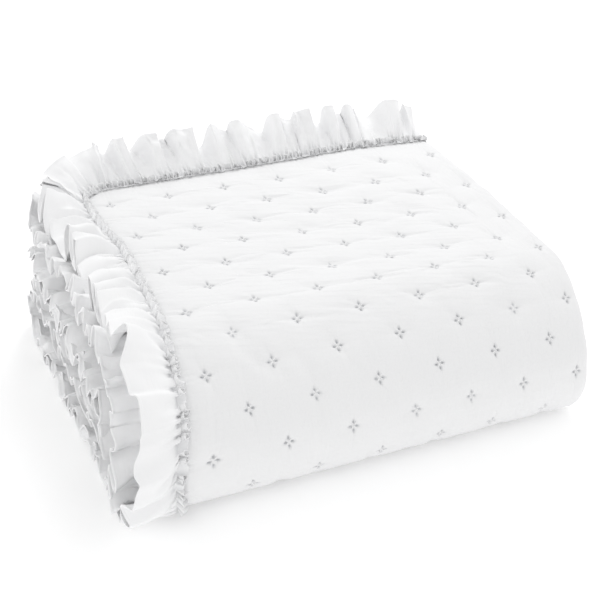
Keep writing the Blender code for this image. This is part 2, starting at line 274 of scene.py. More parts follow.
class Finish:
    # One material's nodes
    def __init__(self, name):
        self.material = bpy.data.materials.new(name)
        self.material.use_nodes = True
        self.tree = self.material.node_tree
        self.shader = self.tree.nodes["Principled BSDF"]

    def connect(self, socket, value):
        if isinstance(value, Value):
            self.tree.links.new(value.socket, socket)
        else:
            socket.default_value = value

    def give(self, name, value):
        self.connect(self.shader.inputs[name], value)

    def add(self, kind, settings, inputs, result=0):
        node = self.tree.nodes.new(kind)
        for name, value in settings.items():
            setattr(node, name, value)
        for name, value in inputs.items():
            self.connect(node.inputs[name], value)
        return Value(self, node.outputs[result])

    def noise(self, where, scale, detail=2.0, stretch=(1.0, 1.0, 1.0)):
        scaled = self.add("ShaderNodeMapping", {}, {"Vector": where, "Scale": stretch})
        return self.add("ShaderNodeTexNoise", {}, {"Vector": scaled, "Scale": scale, "Detail": detail})

    def bump(self, heightValue, strength, distance, under=None):
        inputs = {"Height": heightValue, "Strength": strength, "Distance": distance}
        if under is not None:
            inputs["Normal"] = under
        return self.add("ShaderNodeBump", {}, inputs)


weave = {
    "threads": 1900.0, "threadsToScale": 20.0,   # threads to a metre one way, and to a scale of 1
    # the last colour is painted shade, mixed in where the mesh marks the tufts' pricks and the notches
    # between the gathers
    "colour": (0.900, 0.900, 0.903), "shade": (0.865, 0.867, 0.874), "paintedShade": (0.50, 0.51, 0.53, 1.0),
    "slubs": 900.0, "nap": 260.0, "fineFolds": 60.0, "mottle": 14.0,   # to a metre, as the streaks
    "streaksOver": 62.0, "streaksDown": 44.0, "streakTurn": -0.24,
    "threadHeight": 0.00012, "napHeight": 0.00035,
}
quiltedCloth = {
    "name": "quiltedMicrofibre", "lighter": 0.98, "roughness": 0.78, "sheen": 0.10,
    "crinkle": 0.0012, "streaks": 1.35,   # height of the fine folds, and how much they run in streaks
}
ruffleCloth = {
    "name": "ruffleVoile", "lighter": 1.05, "roughness": 0.70, "sheen": 0.0,
    "crinkle": 0.0006, "streaks": 0.0,
}


def wovenCloth(look):
    colour = tuple(part * look["lighter"] for part in weave["colour"]) + (1.0,)
    shade = tuple(part * look["lighter"] for part in weave["shade"]) + (1.0,)
    finish = Finish(look["name"])
    cloth = finish.add("ShaderNodeUVMap", {"uv_map": "cloth"}, {})
    scale = weave["threads"] / weave["threadsToScale"]
    bands = {"Vector": cloth, "Scale": scale, "Distortion": 0.6, "Detail": 1.0}
    warp = finish.add("ShaderNodeTexWave", {"bands_direction": "X"}, bands)
    weft = finish.add("ShaderNodeTexWave", {"bands_direction": "Y"}, bands)
    slubs = finish.noise(cloth, weave["slubs"], 2.0, (0.25, 1.0, 1.0))
    nap = finish.noise(cloth, weave["nap"], 4.0)
    fineFolds = finish.noise(cloth, weave["fineFolds"], 3.0, (0.35, 1.6, 1.0))
    if look["streaks"] > 0:
        # They run over the top, and down where the cloth is pulled down
        down = finish.add("ShaderNodeAttribute", {"attribute_name": "pulledDown"}, {}, 2)
        turn = (0.0, 0.0, weave["streakTurn"])
        slanted = finish.add("ShaderNodeMapping", {}, {"Vector": cloth, "Rotation": turn})
        over = finish.noise(slanted, weave["streaksOver"], 2.0, (0.22, 1.9, 1.0))
        along = finish.noise(cloth, weave["streaksDown"], 2.0, (1.6, 0.22, 1.0))
        fineFolds = fineFolds * 0.4 + (over * (1.0 - down) + along * down * 1.3) * look["streaks"]
    mottle = finish.noise(cloth, weave["mottle"], 3.0)
    threads = (warp * weft) * 0.6 + slubs * 0.4
    tone = finish.add("ShaderNodeMix", {"data_type": "RGBA"},
                      {"Factor": mottle * 0.6 + nap * 0.4, "A": shade, "B": colour}, 2)
    # Painted shade: the colour is mixed towards a dark grey in the tufts' pricks and between the ruffle's
    # gathers, standing in for the shadow there
    paintedShadeMask = finish.add("ShaderNodeAttribute", {"attribute_name": "paintedShade"}, {}, 2)
    toned = finish.add("ShaderNodeMix", {"data_type": "RGBA"},
                       {"Factor": paintedShadeMask, "A": tone, "B": weave["paintedShade"]}, 2)
    finish.give("Base Color", toned)
    finish.give("Roughness", look["roughness"] + (nap - 0.5) * 0.2)
    folds = finish.bump(fineFolds, 1.0, look["crinkle"])
    fuzz = finish.bump(nap, 0.5, weave["napHeight"], folds)
    finish.give("Normal", finish.bump(threads, 0.5, weave["threadHeight"], fuzz))
    finish.give("Sheen Weight", look["sheen"])
    finish.give("Sheen Roughness", 0.5)
    finish.give("Specular IOR Level", 0.25)
    return finish.material


spun = {
    "name": "whiteThread", "plies": 120.0, "plyHeight": 0.0002,
    "dark": (0.88, 0.88, 0.89, 1.0), "light": (0.96, 0.96, 0.96, 1.0),
}


def spunThread():
    finish = Finish(spun["name"])
    cloth = finish.add("ShaderNodeUVMap", {"uv_map": "cloth"}, {})
    ply = finish.add("ShaderNodeTexWave", {"bands_direction": "DIAGONAL"},
                     {"Vector": cloth, "Scale": spun["plies"]})
    tone = finish.add("ShaderNodeMix", {"data_type": "RGBA"},
                      {"Factor": ply, "A": spun["dark"], "B": spun["light"]}, 2)
    finish.give("Base Color", tone)
    finish.give("Roughness", 0.5 + ply * 0.15)
    finish.give("Normal", finish.bump(ply, 0.6, spun["plyHeight"]))
    return finish.material


# Quilted panel

panelLines = {
    "tuftLines": (0.0, 0.0013, 0.0027, 0.0041, 0.0055, 0.0070, 0.0100, 0.0150),   # to each side of a tuft
    "bendStep": 0.006, "tightBendStep": 0.0045, "hiddenStep": 0.038, "underStep": 0.024,
    "hemLines": (0.0, 0.0035, 0.007, 0.0105, 0.0145, 0.019), "hemEnd": 0.0205, "coarseFrom": 0.012,
    "farHemLines": (0.013, 0.007, 0.0), "farHem": 0.020, "hemTaper": 0.016,
}


def tuftedLines(centres, halfGap, start, end):
    # Lines crowded round each tuft; the coarse ones are flagged for the hidden face
    lines = {}
    for centre in centres:
        for offset in panelLines["tuftLines"]:
            for line in (centre - offset, centre + offset):
                if start < line < end:
                    lines[round(line, 6)] = offset == 0.0
        if start < centre + halfGap < end:
            lines[round(centre + halfGap, 6)] = True
    return lines


def evenLines(start, end, step):
    count = max(2, round((end - start) / step))
    return {round(start + (end - start) * (n + 1) / count, 6): True for n in range(count)}


def panelStations():
    # The panel's lines across and down, and which of them its back has too
    columns = [tuft["firstColumn"] + tuft["pitch"] / 2 * n for n in range(tuft["columns"])]
    hem = {line: line > panelLines["coarseFrom"] for line in panelLines["hemLines"]}
    across = {**hem, 0.0: True}
    across.update(tuftedLines(columns, tuft["pitch"] / 4, panelLines["hemEnd"], shownWidth - 0.002))
    across[round(shownWidth, 6)] = True
    for piece in range(2, 7):
        step = panelLines["tightBendStep" if piece % 2 else "hiddenStep"]
        end = acrossStarts[piece + 1] - (panelLines["farHem"] if piece == 6 else 0)
        across.update(evenLines(acrossStarts[piece], end, step))
    across.update({round(acrossStarts[-1] - line, 6): True for line in panelLines["farHemLines"]})
    rowPlaces = [tuft["firstRow"] + tuft["rowPitch"] * n for n in range(tuftRows)]
    front = [place for place in rowPlaces if place < frontEnd + 0.025]
    down = {**hem, 0.0: True}
    underStart = max(frontEnd, front[-1] + 0.016)
    down.update(tuftedLines(front, tuft["rowPitch"] / 2, panelLines["hemEnd"], underStart - 0.0005))
    down.update({round(underStart, 6): True})
    length = downDistance(7.0)
    for start, end, step in (
        (underStart, underEnd, "underStep"), (underEnd, backEnd, "bendStep"),
        (backEnd, downDistance(5.0), "hiddenStep"), (downDistance(5.0), downDistance(6.0), "tightBendStep"),
        (downDistance(6.0), length - panelLines["farHem"], "hiddenStep"),
    ):
        down.update(evenLines(start, end, panelLines[step]))
    down.update({round(length - line, 6): True for line in panelLines["farHemLines"]})
    acrossLines, downLines = sorted(across), sorted(down)
    return (np.array(acrossLines), np.array([across[line] for line in acrossLines]),
            np.array(downLines), np.array([down[line] for line in downLines]))


def drawnIn(fromSide, fromFoot):
    # The rounded corner of the cloth, as distances from its two edges
    radius = fold["cornerRadius"]
    a, b = 1 - fromSide / radius, 1 - fromFoot / radius
    inside = (a > 0) & (b > 0)
    a, b = np.where(inside, a, 0.0), np.where(inside, b, 0.0)
    newSide = radius * (1 - a * np.sqrt(1 - b * b / 2))
    newFoot = radius * (1 - b * np.sqrt(1 - a * a / 2))
    return np.where(inside, newSide, fromSide), np.where(inside, newFoot, fromFoot)


def roundedDistances(across, down):
    width = acrossStarts[-1]
    side, foot = drawnIn(across, down)
    farSide, farFoot = drawnIn(width - across, down)
    nearHalf = across < width / 2
    return np.where(nearHalf, side, width - farSide), np.where(nearHalf, foot, farFoot)


def hemmed(fromHem):
    return fold["hemShare"] + (1 - fold["hemShare"]) * np.sqrt(ease(fromHem / panelLines["hemTaper"]))


def clothShare(across, down):
    # How much of its thickness the cloth keeps: less at the hems and in the tight folds
    width, length = acrossStarts[-1], walkedDown[-1]
    fromHem = np.minimum(np.minimum(across, width - across), np.minimum(down, length - down))
    share = hemmed(fromHem)
    u, v = acrossPlace(across), downPlace(down)
    beside = 0.04
    for place, start in ((u, 3), (u, 5), (v, 5)):
        inBend = ramp(place, (start - beside, beside)) * ramp(place, (start + 1 + beside, -beside))
        share = share * (1 - (1 - fold["squeezedShare"]) * inBend)
    return share


# Creases placed one by one: across, down, half length, half width, height in mm, angle in degrees, bow
creases = (
    (150, 95, 60, 5, -1.3, 9, 0.6), (235, 75, 70, 4.5, -1.1, 19, -0.4),
    (330, 105, 75, 6, -1.4, 12, 0.5), (420, 88, 55, 5, -1, 22, -0.8),
    (180, 190, 80, 7, -1.6, 13, 0.3), (300, 215, 60, 5.5, -1.2, 18, 0.7),
    (395, 185, 70, 5, -1.2, 8, -0.5), (110, 255, 55, 6, -1.3, 20, 0.5),
    (240, 300, 70, 6.5, -1.3, 11, 0.4), (350, 290, 60, 6, -1, 17, -0.6),
    (90, 430, 60, 9, -1.5, 62, 0.5), (175, 520, 70, 10, -1.5, 80, -0.4),
    (285, 540, 75, 11, -1.4, 96, 0.4), (390, 530, 80, 11, -1.5, 84, 0.5),
    (470, 420, 90, 10, -1.4, 98, -0.4), (520, 300, 90, 9, -1.3, 86, 0.4),
    (120, 640, 45, 8, -1.6, 72, 0.6), (235, 655, 40, 7, -1.6, 104, -0.6),
    (330, 650, 45, 8, -1.7, 80, 0.5), (440, 640, 50, 8, -1.7, 95, 0.6),
    (515, 600, 60, 8, -1.6, 88, -0.5),
)
wrinkles = {
    "seed": 41, "creases": 2.2, "deep": 0.0010, "limit": 0.0026, "deepest": 0.0050,
    "slope": 14, "turn": 74, "spread": 7, "moreSpread": 6,   # in degrees
    "pulledFrom": (0.36, 0.16), "pulledAcross": (0.44, 0.09), "finer": 0.6, "finerFrom": (0.33, 0.15),
}
besideTuft = {
    "count": 7, "spread": 9, "gap": 0.004, "more": 1.3, "rise": (0.5, 1.2), "stray": 0.003,
    "length": (0.014, 0.030), "width": (0.0016, 0.0032), "bow": 0.3,
}
loose = {
    "count": 340, "from": 0.01, "across": 0.60, "down": 1.9, "rise": (-1.0, -0.8, 0.5),
    "length": (0.02, 0.055), "width": (0.002, 0.0042), "bow": 0.4,
}
pucker = {
    "pitch": 0.0085, "stray": 0.5, "strayReach": 0.05, "rise": 0.0017, "reach": 0.020,
    "sunk": 0.0020, "sunkReach": 0.012, "sideSeed": 11, "footSeed": 12,
}
swell = {"rise": 0.0011, "across": (3, 0.35, 0.11), "down": (4, 0.2, 0.09)}   # seed, skew, reach


class Relief:
    # Heights over the cloth's lines, added one small patch at a time
    def __init__(self, across, down):
        self.across, self.down = across, down
        self.heights = np.zeros((len(across), len(down)))

    def patch(self, atAcross, atDown, reach):
        rows = slice(*np.searchsorted(self.across, (atAcross - reach, atAcross + reach)))
        columns = slice(*np.searchsorted(self.down, (atDown - reach, atDown + reach)))
        x = self.across[rows, None] - atAcross
        y = self.down[None, columns] - atDown
        return (rows, columns), x, y

    def crease(self, atAcross, atDown, halfLength, halfWidth, rise, angle, bow):
        where, x, y = self.patch(atAcross, atDown, halfLength * 1.9)
        c, s = math.cos(angle), math.sin(angle)
        along, aside = x * c + y * s, y * c - x * s
        aside = aside + bow * along * along / halfLength * 0.4
        narrowing = np.exp(-(along / halfLength) ** 2)
        width = halfWidth * (0.5 + 0.5 * narrowing)
        self.heights[where] += rise * narrowing * np.exp(-(aside / width) ** 2)

    def pinch(self, atAcross, atDown, turned, deep):
        where, x, y = self.patch(atAcross, atDown, tuft["reach"])
        soft = np.exp(-(np.abs(x) / tuft["dimpleAcross"]) ** 1.4 - (np.abs(y) / tuft["dimpleDown"]) ** 1.4)
        added = -tuft["dimple"] * deep * soft
        c, s = math.cos(turned), math.sin(turned)
        a, b = x * c + y * s, y * c - x * s
        narrow, longer = tuft["dentWidth"], tuft["dentLength"]
        pricks = 0
        for sign in (-1, 1):
            pricks = pricks + np.exp(-((a - sign * tuft["dentAcross"]) / longer) ** 2 - (b / narrow) ** 2)
            pricks = pricks + np.exp(-(a / narrow) ** 2 - ((b - sign * tuft["dentDown"]) / longer) ** 2)
        ridge = np.exp(-(a * a + b * b) / (tuft["dentDown"] * 1.3) ** 2) * (1 - pricks)
        self.heights[where] += added - tuft["dent"] * pricks + tuft["ridge"] * ridge
        # The second value is a mask for painted shade in the pricks
        return where, np.clip(1.3 * pricks, 0, 1) ** 1.3


def drifted(across, down):
    # Slack has carried the front rows over and the far ends of the top rows down, but not the edges
    carried = tuft["drift"] * np.exp(-((down - tuft["driftAt"]) / tuft["driftReach"]) ** 2)
    beforeEnd = ramp(across, (shownWidth, -0.12))
    slanted = tuft["slant"] * ramp(across, tuft["slantAcross"]) * beforeEnd
    slanted = slanted * (ramp(down, tuft["slantFrom"]) - ramp(0.0, tuft["slantFrom"]))
    slanted = slanted * (1 - ramp(down, tuft["slantTo"]))
    return across + carried * ramp(across, (0.0, 0.08)) * beforeEnd, down + np.where(down > 0, slanted, 0.0)


def tuftPlaces():
    # Every tuft: distance across, distance down, turn and depth, each a little uneven
    pick = np.random.RandomState(tuft["seed"])
    places = []
    for row in range(tuftRows):
        for column in range(tuft["columns"]):
            offAcross, offDown, turned, deep = pick.uniform(-1, 1, 4)
            if (row + column) % 2 == 0:
                down = tuft["firstRow"] + tuft["rowPitch"] * row
                places.append((
                    tuft["firstColumn"] + tuft["pitch"] / 2 * column + offAcross * tuft["uneven"],
                    down + offDown * tuft["uneven"],
                    math.radians(tuft["turned"]) * turned,
                    1 + tuft["deeper"] * deep,
                ))
    return places


def pulledDown(across, down):
    # How far the cloth is pulled down, from 0 on the top to 1 over the front and the plain end
    return np.maximum(ramp(down, wrinkles["pulledFrom"]), ramp(across, wrinkles["pulledAcross"]))


def puckers(along, fromEdge, seed):
    # Where the ruffle's gathers pull on an edge
    strays = pucker["stray"] * wander(seed, along, pucker["strayReach"])
    gathers = np.abs(np.sin(math.pi * (along / pucker["pitch"] + strays)))
    raised = pucker["rise"] * (gathers - 0.5) * np.exp(-(fromEdge / pucker["reach"]) ** 1.3)
    return raised - pucker["sunk"] * np.exp(-fromEdge / pucker["sunkReach"])


def panelRelief(acrossLines, downLines):
    relief = Relief(acrossLines, downLines)
    paintedShade = np.zeros_like(relief.heights)
    x, y = acrossLines[:, None], downLines[None, :]
    pick = np.random.RandomState(wrinkles["seed"])
    mm = 0.001
    for across, down, halfLength, halfWidth, rise, angle, bow in creases:
        relief.crease(across * mm, down * mm, halfLength * mm, halfWidth * mm,
                      rise * mm * wrinkles["creases"], math.radians(angle), bow)

    def lineOf(across, down):
        # Wrinkles run slantwise across the top, and turn down where the cloth is pulled down
        turn = pulledDown(across, down)
        spread = wrinkles["spread"] + wrinkles["moreSpread"] * turn
        return pick.normal(0, spread) + wrinkles["slope"] + wrinkles["turn"] * turn

    def fineness(down):
        return 1 - wrinkles["finer"] * ramp(down, wrinkles["finerFrom"])

    for atAcross, atDown, turned, deep in tuftPlaces():
        for n in range(besideTuft["count"]):
            side = 1 if n % 2 else -1
            angle = math.radians(lineOf(atAcross, atDown) + pick.normal(0, besideTuft["spread"]))
            halfLength = pick.uniform(*besideTuft["length"])
            away = side * (halfLength * 0.75 + besideTuft["gap"])
            rise = -pick.uniform(*besideTuft["rise"]) * wrinkles["deep"] * fineness(atDown)
            rise = rise * besideTuft["more"]
            across = atAcross + away * math.cos(angle)
            down = atDown + away * math.sin(angle) + pick.normal(0, besideTuft["stray"])
            halfWidth, bow = pick.uniform(*besideTuft["width"]), pick.normal(0, besideTuft["bow"])
            relief.crease(across, down, halfLength, halfWidth, rise, angle, bow)
    lowest = downDistance(loose["down"])
    for n in range(loose["count"]):
        across, down = pick.uniform(loose["from"], loose["across"]), pick.uniform(loose["from"], lowest)
        angle = math.radians(lineOf(across, down))
        rise = pick.choice(loose["rise"]) * wrinkles["deep"] * fineness(down)
        halfLength, halfWidth = pick.uniform(*loose["length"]), pick.uniform(*loose["width"])
        relief.crease(across, down, halfLength, halfWidth, rise, angle, pick.normal(0, loose["bow"]))
    relief.heights = wrinkles["limit"] * np.tanh(relief.heights / wrinkles["limit"])
    relief.heights += puckers(y, x, pucker["sideSeed"])
    relief.heights += puckers(x, y, pucker["footSeed"])
    # The tufts press in their pricks, and the pricks also get painted shade in the colour
    for atAcross, atDown, turned, deep in tuftPlaces():
        where, pricks = relief.pinch(atAcross, atDown, turned, deep)
        paintedShade[where] = np.maximum(paintedShade[where], pricks)
    # Only the swells go on where the cloth is hidden or lies underneath
    shown = ramp(x, (shownWidth + 0.002, -0.02)) * ramp(y, (backEnd + 0.002, -0.02))
    underneath = ramp(y, (frontEnd + 0.03, 0.03)) * ramp(y, (underEnd, -0.03))
    shown = shown * (1 - underneath)
    seed, skew, reach = swell["across"]
    swells = swell["rise"] * wander(seed, x + skew * y, reach)
    seed, skew, reach = swell["down"]
    swells = swells * wander(seed, y - skew * x, reach)
    heights = swells * clothShare(x, y) + relief.heights * shown
    return np.maximum(heights, -wrinkles["deepest"] * clothShare(x, y)), paintedShade * shown


def makePanel(material):
    acrossLines, coarseAcross, downLines, coarseDown = panelStations()
    relief, paintedShade = panelRelief(acrossLines, downLines)
    across, down = np.meshgrid(acrossLines, downLines, indexing="ij")
    newAcross, newDown = roundedDistances(*drifted(across, down))
    u, v = acrossPlace(newAcross), downPlace(newDown)
    half = fold["cloth"] / 2 * clothShare(across, down)
    face = liftedOff(u, v, half, relief)
    face[..., 2] = np.maximum(face[..., 2], 0.0004)
    back = placeOnCloth(u, v, -half)[np.ix_(coarseAcross, coarseDown)]
    rows, columns = across.shape
    faces = gridFaces(rows, columns)
    first = rows * columns
    backRows, backColumns = back.shape[:2]
    faces += [polygon[::-1] for polygon in gridFaces(backRows, backColumns, first)]
    frontAt = np.arange(first).reshape(rows, columns)
    backAt = first + np.arange(backRows * backColumns).reshape(backRows, backColumns)
    rowsKept, columnsKept = np.flatnonzero(coarseAcross), np.flatnonzero(coarseDown)
    # The face and the coarser back are joined all round
    for edge, backEdge, kept in (
        (frontAt[:, 0], backAt[:, 0], rowsKept),
        (frontAt[::-1, -1], backAt[::-1, -1], rows - 1 - rowsKept[::-1]),
        (frontAt[0, ::-1], backAt[0, ::-1], columns - 1 - columnsKept[::-1]),
        (frontAt[-1], backAt[-1], columnsKept),
    ):
        for n in range(len(kept) - 1):
            between = edge[kept[n]:kept[n + 1] + 1][::-1]
            faces.append([int(at) for at in (backEdge[n], backEdge[n + 1], *between)])
    points = np.concatenate((face.reshape(-1, 3), back.reshape(-1, 3)))
    places = np.stack((across, down), axis=-1)
    backPlaces = places[np.ix_(coarseAcross, coarseDown)]
    panel = smoothMesh("quiltedPanel", points, faces,
                       np.concatenate((places.reshape(-1, 2), backPlaces.reshape(-1, 2))), material)
    # The face gets the painted shade in the tufts' pricks and how far the cloth is pulled down; the back gets
    # neither
    plainBack = np.zeros(backRows * backColumns)
    for label, values in (("paintedShade", paintedShade), ("pulledDown", pulledDown(across, down))):
        paint(panel, label, np.concatenate((values.ravel(), plainBack)))
    print("quilted panel:", sum(len(polygon) - 2 for polygon in faces), "triangles")
    return panel


# Tuft stitches

stitch = {
    "length": 0.0056, "radius": 0.00048, "middle": 0.0036, "sides": 6, "steps": 6, "seed": 19, "strays": 8,
    "above": 0.0013, "arch": 0.0016, "linesRound": 4, "fromEnd": 0.012,
}


def makeStitches(material):
    # Four short stitches in a cross hold each tuft and lie between its pricks
    acrossLines, _, downLines, _ = panelStations()
    relief, _ = panelRelief(acrossLines, downLines)
    pick = np.random.RandomState(stitch["seed"])
    points, faces, places = [], [], []
    sides, steps = stitch["sides"], stitch["steps"]
    for atAcross, atDown, turned, _ in tuftPlaces():
        if atAcross > shownWidth - stitch["fromEnd"] or frontEnd < atDown < underEnd:
            continue
        row, column = np.searchsorted(acrossLines, atAcross), np.searchsorted(downLines, atDown)
        rowsRound = slice(max(0, row - stitch["linesRound"]), row + stitch["linesRound"] + 1)
        columnsRound = slice(max(0, column - stitch["linesRound"]), column + stitch["linesRound"] + 1)
        low = relief[rowsRound, columnsRound].mean()
        for leg in range(4):
            angle = turned + math.radians(45 + 90 * leg + pick.uniform(-stitch["strays"], stitch["strays"]))
            t = np.linspace(-1, 1, steps + 1)
            reach = stitch["middle"] + t * stitch["length"] / 2
            across = atAcross + reach * math.cos(angle)
            down = atDown + reach * math.sin(angle)
            rise = fold["cloth"] / 2 + low + stitch["above"] - stitch["arch"] * t ** 2
            movedAcross, movedDown = drifted(across, down)
            u, v = acrossPlace(movedAcross), downPlace(movedDown)
            line = liftedOff(u, v, rise, np.zeros_like(rise))
            up = liftedOff(u, v, rise, np.full_like(rise, 0.001)) - line
            up /= np.linalg.norm(up, axis=1, keepdims=True)
            along = np.gradient(line, axis=0)
            aside = np.cross(along, up)
            aside /= np.linalg.norm(aside, axis=1, keepdims=True)
            thick = stitch["radius"] * np.sqrt(np.clip(1 - t ** 4, 0.02, 1))
            first = len(points)
            for n in range(steps + 1):
                for side in range(sides):
                    turn = 2 * math.pi * side / sides
                    points.append(line[n] + thick[n] * (math.cos(turn) * aside[n] + math.sin(turn) * up[n]))
                    places.append((stitch["length"] * n / steps, turn * stitch["radius"]))
            for n in range(steps):
                for side in range(sides):
                    a, b = first + n * sides + side, first + n * sides + (side + 1) % sides
                    faces.append((a, b, b + sides, a + sides))
            faces.append(tuple(first + side for side in range(sides))[::-1])
            faces.append(tuple(first + steps * sides + side for side in range(sides)))
    print("tuft stitches:", len(faces), "faces")
    return smoothMesh("tuftStitches", np.array(points), faces, np.array(places), material)


# Ruffles

ruffle = {
    "width": 0.074, "heading": 0.011, "seamGap": 0.0008, "cloth": 0.0007, "hem": 0.0012, "hemWidth": 0.0035,
    "visibleStep": 0.00135, "hiddenStep": 0.0024, "cornerSteps": 90, "weaveFullness": 1.9,
    "headingRows": (-1.0, -0.86, -0.70, -0.52, -0.34, -0.18, -0.06),
    "outerRows": (1.0, 2.4, 4.2, 6.4, 9.2, 12.6, 16.8, 22, 28, 35, 43, 51, 59, 65.5, 69.5),   # in mm
}
# The shape of the pleats, of the gathers along the seam, and of the heading's narrow frill
pleat = {
    "startsAt": 0.25, "settled": 0.06, "second": 0.45, "peak": 1.2, "fullSwing": 0.010, "opens": 1.15,
    "root": 0.007, "dips": 0.12, "curls": 0.6, "curlsFrom": 0.7, "curlDraws": 0.20,
    "overhang": 0.0022, "overhangSwing": 0.015, "foldRate": 2.1, "fold": (0.0030, 0.024, 0.016),
}
gather = {
    "length": 0.0104, "rise": 0.0029, "highest": 0.0060, "atSeam": 0.3, "reach": 0.05, "starts": 0.002,
    # the notch entry sets the painted shade between the gathers: how dark, how far out, over what width
    "lean": (0.0018, 0.005, 0.006), "paintedNotchShade": (0.45, 0.0030, 0.0035),
}
frill = {
    "tilt": 0.65, "swing": 0.62, "crisp": 1.2,
    "edge": 0.0016, "edgeWave": 0.7, "lean": 0.0022, "clear": 0.0006,
}
# What varies along a strip: how much, over what length, and what it adds to the strip's seed
varies = {
    "phase": (1.1, 0.13, 0), "hemPhase": (1.2, 0.12, 1), "seamPhase": (0.8, 0.07, 2),
    "size": (0.42, 0.06, 3), "tilt": (9, 0.10, 4), "foldPhase": (2, 0.08, 5),
    "gatherPhase": (2.2, 0.027, 6), "gatherSize": (0.6, 0.025, 7), "flutter": (0.0012, 0.018, 8),
    "frill": (0.6, 0.02, 9), "frillEdge": (1, 0.012, 10), "secondPhase": (2.5, 0.09, 11),
    "lean": (0.35, 0.08, 12), "crumple": (0.0045, 0.028, 13), "crumpleOut": (1, 0.030, 14),
}
# Place along the edge, angle off the cloth in degrees, swing of the pleats in mm, whether the heading
# shows, how many mm the pleats lean along the edge, how boxy they are, how many mm the hem is swept
# along, and how much the strip curls over towards its hem
nearLie = (
    (0, 47, 12, 1, 1, 0.5, 4, 0.2), (0.04, 38, 16, 1, 3, 0.8, 0, 0.3), (0.12, 27, 21, 1, 9, 1.1, -3, 0.4),
    (0.3, 14, 25, 1, 12, 1.4, 2, 0.7), (0.5, 10, 27, 1, 12, 1.5, 8, 0.9), (0.9, 12, 26, 1, 11, 1.5, 10, 0.9),
    (1, 24, 22, 1, 8, 1.2, 10, 0.8), (1.08, 45, 12, 1, 3, 0.7, 8, 0.5), (1.16, 56, 8, 1, 2, 0.6, 4, 0.4),
    (1.3, 56, 7, 1, 1, 0.6, 0, 0.4), (1.38, 47, 8, 1, 0, 0.6, 0, 0.5), (1.46, 38, 9, 1, 0, 0.6, 0, 0.5),
    (1.56, 29, 11, 1, 0, 0.6, 2, 0.5), (1.66, 17, 12, 1, 0, 0.7, 2, 0.5), (1.76, 9, 10, 1, 0, 0.8, 0, 0.5),
    (1.84, 1, 6, 1, 0, 1, 0, 0.3), (1.9, -7, 4, 0, 0, 1, 0, 0), (2, -7, 4, 0, 0, 1.2, 0, 0),
    (2.2, -5, 8, 0, 2, 1, 0, 0), (2.9, -5, 9, 0, 2, 1, 0, 0), (3.1, 2, 13, 0, 3, 0.8, 0, 0.1),
    (3.9, 2, 13, 0, 3, 0.8, 0, 0.1), (4.1, -5, 9, 0, 2, 1, 0, 0), (4.9, -5, 9, 0, 2, 1, 0, 0),
    (5, -5, 2, 0, 0, 1.2, 0, 0), (6, -5, 2, 0, 0, 1.2, 0, 0), (6.1, -5, 9, 0, 2, 1, 0, 0),
    (7, -5, 9, 0, 2, 1, 0, 0),
)
farLie = (
    (0, 0, 12, 0, 2, 1, 0, 0), (0.25, 6, 14, 0, 4, 1, 0, 0), (0.6, 14, 15, 0, 6, 1, 0, 0.2),
    (1.9, 14, 17, 0, 6, 1, 0, 0.2), (2.1, 12, 12, 0, 4, 0.8, 0, 0.2), (2.9, 12, 12, 0, 4, 0.8, 0, 0.2),
    (3, 10, 4, 0, 0, 1, 0, 0), (4, 10, 4, 0, 0, 1, 0, 0), (4.1, 12, 12, 0, 4, 0.8, 0, 0.2),
    (5, 12, 9, 0, 0, 1, 0, 0.2), (6, 12, 9, 0, 0, 1, 0, 0.2), (6.1, 12, 12, 0, 4, 0.8, 0, 0.2),
    (7, 12, 12, 0, 4, 0.8, 0, 0.2),
)
footLie = (
    (0, 48, 20, 1, 0, 0.6, -6, 0.2), (0.08, 47, 24, 1, -3, 0.8, -18, 0.1), (0.32, 45, 24, 1, -3, 0.8, -20, 0),
    (0.5, 46, 24, 1, 2, 0.8, -4, 0), (0.8, 45, 24, 1, 4, 0.8, 2, 0), (0.97, 40, 18, 1, 0, 0.6, 8, 0),
    (1.08, 16, 10, 1, 0, 0.6, 0, 0), (1.5, 16, 4, 0, 0, 1, 0, 0), (2, 5, 6, 0, 0, 1, 0, 0),
    (3, 5, 6, 0, 0, 1, 0, 0), (3.5, 5, 0, 0, 0, 1, 0, 0), (4, 6, 4, 0, 0, 1, 0, 0),
    (4.9, 6, 4, 0, 0, 1, 0, 0), (5, -2, 0, 0, 0, 1, 0, 0), (6, -4, 0, 0, 0, 1, 0, 0),
    (6.1, -8, 4, 0, 0, 1, 0, 0), (7, -10, 5, 0, 0, 1, 0, 0),
)
# How many pleats each fold and bend of an edge has
pleats = {
    "near": (9, 6, 8, 5, 8, 1, 8), "far": (10, 9, 8, 1, 8, 1, 8), "foot": (11, 2, 8, 1, 8, 1, 8),
    "corner": 2,
}


def lieAt(lies, place):
    rows = np.array(lies, dtype=float)
    rows[:, (2, 4, 6)] /= 1000
    return [np.interp(place, rows[:, 0], rows[:, column]) for column in range(1, rows.shape[1])]


def edgePoints(lengths, counts, seenUpTo):
    # Places along an edge, the distance walked at each, and how many pleats have gone by
    places, walked, turned = [], [], []
    length = gone = 0.0
    for piece, (pieceLength, count) in enumerate(zip(lengths, counts)):
        step = ruffle["visibleStep"] if piece < seenUpTo else ruffle["hiddenStep"]
        t = np.linspace(0, 1, max(4, round(pieceLength / step)), endpoint=False)
        places.append(piece + t)
        walked.append(length + t * pieceLength)
        turned.append(gone + t * count)
        length += pieceLength
        gone += count
    return (np.append(np.concatenate(places), lastPlace), np.append(np.concatenate(walked), length),
            np.append(np.concatenate(turned), gone))


def stripRows():
    # Distances from the seam over the strip where its heading shows, and where it doesn't
    shown = np.array(ruffle["headingRows"]) * ruffle["heading"]
    outside = np.array(ruffle["outerRows"]) * 0.001
    hem = ruffle["width"] - np.array([ruffle["hemWidth"], ruffle["hemWidth"] - 0.0006, 0.0009, 0.0])
    rows = np.concatenate((shown, outside, hem))
    hiddenRows = np.concatenate((np.linspace(ruffle["seamGap"], 0.0020, 9), rows[9:]))
    return rows, hiddenRows


